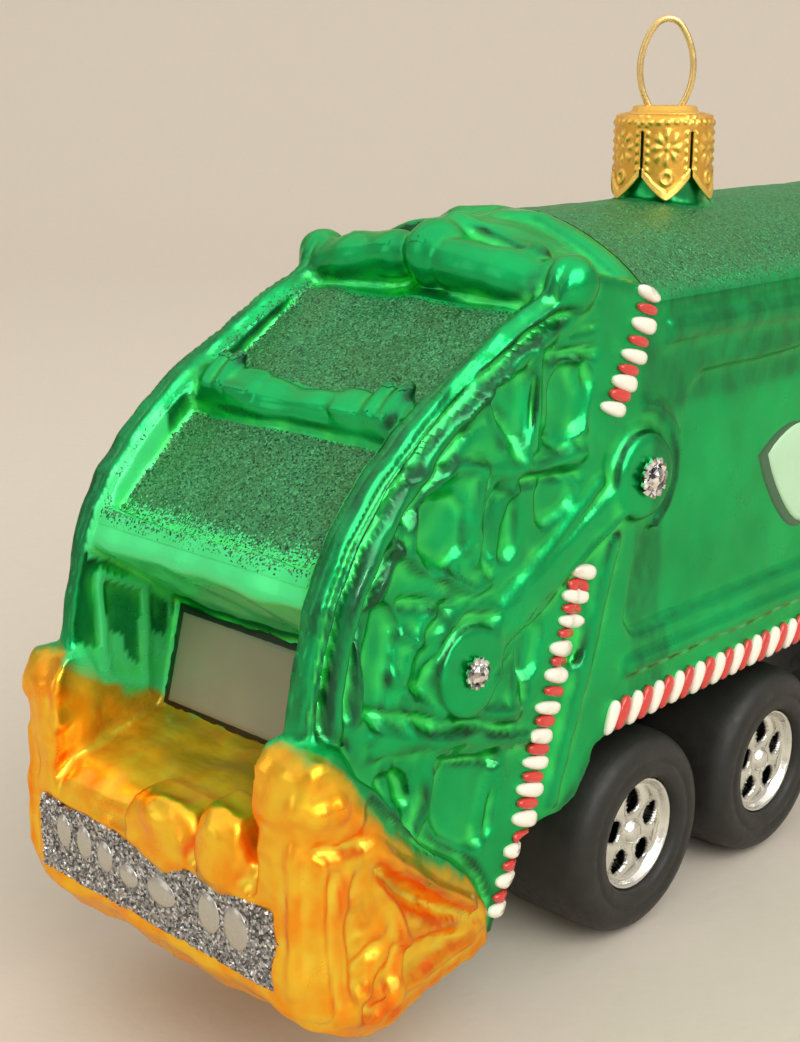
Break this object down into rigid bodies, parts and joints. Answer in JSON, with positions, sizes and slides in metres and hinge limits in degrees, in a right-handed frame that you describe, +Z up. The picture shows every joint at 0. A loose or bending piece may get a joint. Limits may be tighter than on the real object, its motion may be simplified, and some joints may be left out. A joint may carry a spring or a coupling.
{
  "type": "blown glass Christmas ornament, rear loader garbage truck",
  "caption": "Hollow blown-glass tree ornament shaped like a rear-loading garbage truck, with a gilt hanger cap and small wheels that roll.",
  "frame": {"origin": "bottom centre of the whole ornament, on the surface the tyres stand on", "axes": "+X to the truck's front, +Y to its left side, +Z up"},
  "size_m": [0.1392, 0.0374, 0.0852],
  "materials": {
    "green_glass": "silvered blown glass under clear green lacquer, high gloss",
    "orange_lacquer": "warm orange lacquer on the glass, high gloss",
    "silver_glitter": "coarse silver glitter set in clear glue",
    "silver_paint": "smooth silver left bright under clear lacquer",
    "green_glitter": "fine green glitter, slightly rough",
    "taupe_paint": "flat taupe paint",
    "black_line": "brushed black line",
    "white_enamel": "thick cream-white enamel",
    "red_enamel": "thick red enamel",
    "crystal": "cut foil-backed crystal",
    "mint_paint": "pale mint paint",
    "gold_cap": "stamped gilt tinplate with an embossed pattern",
    "gold_wire": "drawn gilt wire",
    "black_plastic": "moulded black plastic",
    "bright_steel": "bright strip steel",
    "hub_chrome": "vacuum-plated plastic",
    "tyre_black": "soft black vinyl, satin"
  },
  "bodies": {
    "body": {"glass_body": "green_glass", "orange_lacquer": "orange_lacquer", "lamp_bar_glitter": "silver_glitter", "tail_lamps": "silver_paint", "roof_glitter": "green_glitter", "hatch_glitter": "green_glitter", "mouth_panel": "taupe_paint", "mouth_outline": "black_line", "white_dashes": "white_enamel", "red_dashes": "red_enamel", "crystal_stones": "crystal", "leaf_motif": "mint_paint", "window_paint": "taupe_paint", "window_outlines": "black_line", "grille_glitter": "silver_glitter", "headlamps": "silver_paint", "crown_cap": "gold_cap", "hanger_wire": "gold_wire", "underframe": "black_plastic", "axle_stays": "bright_steel"},
    "rear_wheels": {"rear_axle": "bright_steel", "rear_hubs": "hub_chrome", "rear_tyres": "tyre_black"},
    "middle_wheels": {"middle_axle": "bright_steel", "middle_hubs": "hub_chrome", "middle_tyres": "tyre_black"},
    "front_wheels": {"front_axle": "bright_steel", "front_hubs": "hub_chrome", "front_tyres": "tyre_black"}
  },
  "joints": [
    {"name": "rear_roll", "type": "hinge", "parent": "body", "child": "rear_wheels", "pos_m": [-0.022, 0, 0.01], "axis": [0, 1, 0], "continuous": true},
    {"name": "middle_roll", "type": "hinge", "parent": "body", "child": "middle_wheels", "pos_m": [0.001, 0, 0.01], "axis": [0, 1, 0], "continuous": true},
    {"name": "front_roll", "type": "hinge", "parent": "body", "child": "front_wheels", "pos_m": [0.047, 0, 0.01], "axis": [0, 1, 0], "continuous": true}
  ]
}
